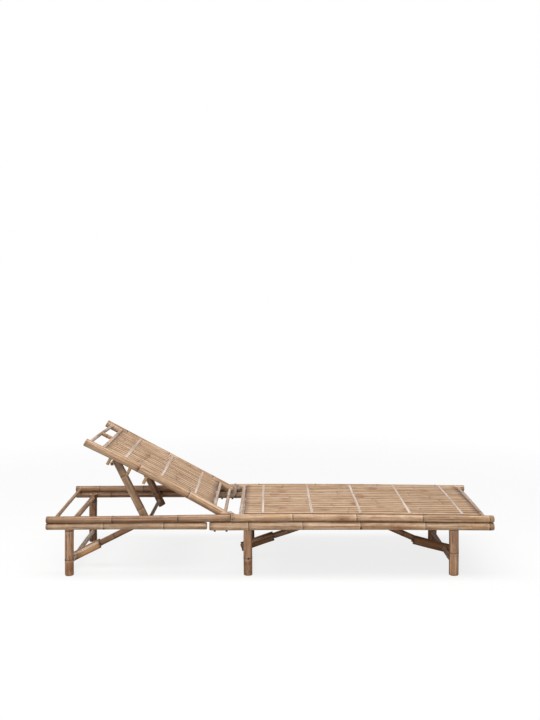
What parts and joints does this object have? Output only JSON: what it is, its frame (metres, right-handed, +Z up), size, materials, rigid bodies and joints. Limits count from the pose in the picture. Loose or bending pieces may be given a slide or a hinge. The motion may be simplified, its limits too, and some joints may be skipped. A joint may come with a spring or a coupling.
{
  "type": "bamboo folding recliner",
  "caption": "Low bamboo lounger with a slatted bed, an adjustable propped backrest, a fold-over head section and folding braced legs.",
  "frame": {"origin": "on the ground, under the middle of the lounger's length and width", "axes": "+X along the length from the head end to the foot end, +Y from the near side to the far side, +Z up"},
  "size_m": [2.0003, 0.6378, 0.6212],
  "materials": {
    "pole_culm": "satin natural bamboo pole",
    "leg_culm": "satin natural bamboo leg",
    "split_slat": "satin split bamboo",
    "split_culm": "cut split bamboo",
    "pale_binding": "matte pale bark strip",
    "grey_bar": "weathered grey bamboo",
    "golden_peg": "peeled golden bamboo",
    "dark_peg": "dark wooden peg"
  },
  "bodies": {
    "foot_frame": {"foot_upper_rail_near": "pole_culm", "foot_upper_rail_far": "pole_culm", "foot_lower_rail_near": "pole_culm", "foot_lower_rail_far": "pole_culm", "foot_slat_bars": "pole_culm", "foot_panel_head_bar": "grey_bar", "foot_end_bar": "pole_culm", "brace_anchor_bar": "pole_culm", "foot_slats": "split_slat", "foot_slat_bindings": "pale_binding", "foot_rail_pegs": "dark_peg", "joint_dowels": "dark_peg", "foot_hinge_lugs": "split_culm", "hinge_pins": "dark_peg", "foot_lug_pegs": "dark_peg"},
    "head_frame": {"head_upper_rail_near": "pole_culm", "head_upper_rail_far": "pole_culm", "head_lower_rail_near": "pole_culm", "head_lower_rail_far": "pole_culm", "head_end_bar": "pole_culm", "prop_pivot_bar": "pole_culm", "head_hinge_lugs": "split_culm", "head_lug_pegs": "dark_peg", "head_rail_pegs": "dark_peg"},
    "backrest": {"backrest_rail_near": "pole_culm", "backrest_rail_far": "pole_culm", "backrest_pivot_bar": "pole_culm", "backrest_bottom_bar": "grey_bar", "backrest_panel_bar": "pole_culm", "backrest_top_bar": "pole_culm", "backrest_strut": "golden_peg", "backrest_slat_bars": "pole_culm", "backrest_slats": "split_slat", "backrest_bindings": "pale_binding", "prop_stop_pegs": "golden_peg"},
    "prop": {"prop_pole_near": "pole_culm", "prop_pole_far": "pole_culm", "prop_top_bar": "pole_culm"},
    "head_legs": {"head_leg_near": "leg_culm", "head_leg_far": "leg_culm", "head_leg_pivot_bar": "pole_culm", "head_leg_crossbar": "pole_culm"},
    "head_brace_lower_link": {"head_brace_link": "split_culm", "head_knee_pins": "dark_peg"},
    "head_brace_upper_link": {"head_brace_rod": "pole_culm"},
    "middle_legs": {"middle_leg_near": "leg_culm", "middle_leg_far": "leg_culm", "middle_leg_pivot_bar": "pole_culm", "middle_leg_crossbar": "pole_culm"},
    "middle_brace_lower_link": {"middle_brace_link": "split_culm", "middle_knee_pins": "dark_peg"},
    "middle_brace_upper_link": {"middle_brace_rod": "pole_culm"},
    "foot_legs": {"foot_leg_near": "leg_culm", "foot_leg_far": "leg_culm", "foot_leg_pivot_bar": "pole_culm", "foot_leg_crossbar": "pole_culm"},
    "foot_brace_lower_link": {"foot_brace_link": "split_culm", "foot_knee_pins": "dark_peg"},
    "foot_brace_upper_link": {"foot_brace_rod": "pole_culm"}
  },
  "joints": [
    {"name": "head_fold", "type": "hinge", "parent": "foot_frame", "child": "head_frame", "pos_m": [-0.1765, 0, 0.285], "axis": [0, 1, 0], "range_deg": [0, 120]},
    {"name": "recline", "type": "hinge", "parent": "head_frame", "child": "backrest", "pos_m": [-0.205, 0, 0.267], "axis": [0, 1, 0], "range_deg": [-28, 20]},
    {"name": "prop_swing", "type": "hinge", "parent": "head_frame", "child": "prop", "pos_m": [-0.559, 0, 0.224], "axis": [0, 1, 0], "range_deg": [-60.21, 43.01]},
    {"name": "head_leg_fold", "type": "hinge", "parent": "head_frame", "child": "head_legs", "pos_m": [-0.904, 0, 0.224], "axis": [0, -1, 0], "range_deg": [0, 75]},
    {"name": "middle_leg_fold", "type": "hinge", "parent": "foot_frame", "child": "middle_legs", "pos_m": [-0.099, 0, 0.224], "axis": [0, -1, 0], "range_deg": [0, 79]},
    {"name": "foot_leg_fold", "type": "hinge", "parent": "foot_frame", "child": "foot_legs", "pos_m": [0.829, 0, 0.224], "axis": [0, 1, 0], "range_deg": [0, 79]},
    {"name": "head_lower_link_swing", "type": "hinge", "parent": "head_legs", "child": "head_brace_lower_link", "pos_m": [-0.904, -0.14, 0.052], "axis": [0, -1, 0], "range_deg": [0, 68.42]},
    {"name": "head_upper_link_swing", "type": "hinge", "parent": "head_frame", "child": "head_brace_upper_link", "pos_m": [-0.559, -0.14, 0.224], "axis": [0, 1, 0], "range_deg": [0, 20.83]},
    {"name": "middle_lower_link_swing", "type": "hinge", "parent": "middle_legs", "child": "middle_brace_lower_link", "pos_m": [-0.099, 0.021, 0.058], "axis": [0, -1, 0], "range_deg": [0, 66.12]},
    {"name": "middle_upper_link_swing", "type": "hinge", "parent": "foot_frame", "child": "middle_brace_upper_link", "pos_m": [0.398, 0.021, 0.222], "axis": [0, 1, 0], "range_deg": [0, 17.52]},
    {"name": "foot_lower_link_swing", "type": "hinge", "parent": "foot_legs", "child": "foot_brace_lower_link", "pos_m": [0.829, -0.01, 0.052], "axis": [0, 1, 0], "range_deg": [0, 72.14]},
    {"name": "foot_upper_link_swing", "type": "hinge", "parent": "foot_frame", "child": "foot_brace_upper_link", "pos_m": [0.398, -0.01, 0.222], "axis": [0, -1, 0], "range_deg": [0, 22.44]}
  ],
  "couplings": [
    {"joint": "prop_swing", "follows": "recline", "ratio": 2.15},
    {"joint": "head_lower_link_swing", "follows": "head_leg_fold", "ratio": 0.9122},
    {"joint": "head_upper_link_swing", "follows": "head_leg_fold", "ratio": 0.2776},
    {"joint": "middle_lower_link_swing", "follows": "middle_leg_fold", "ratio": 0.8368},
    {"joint": "middle_upper_link_swing", "follows": "middle_leg_fold", "ratio": 0.2216},
    {"joint": "foot_lower_link_swing", "follows": "foot_leg_fold", "ratio": 0.913},
    {"joint": "foot_upper_link_swing", "follows": "foot_leg_fold", "ratio": 0.284}
  ]
}
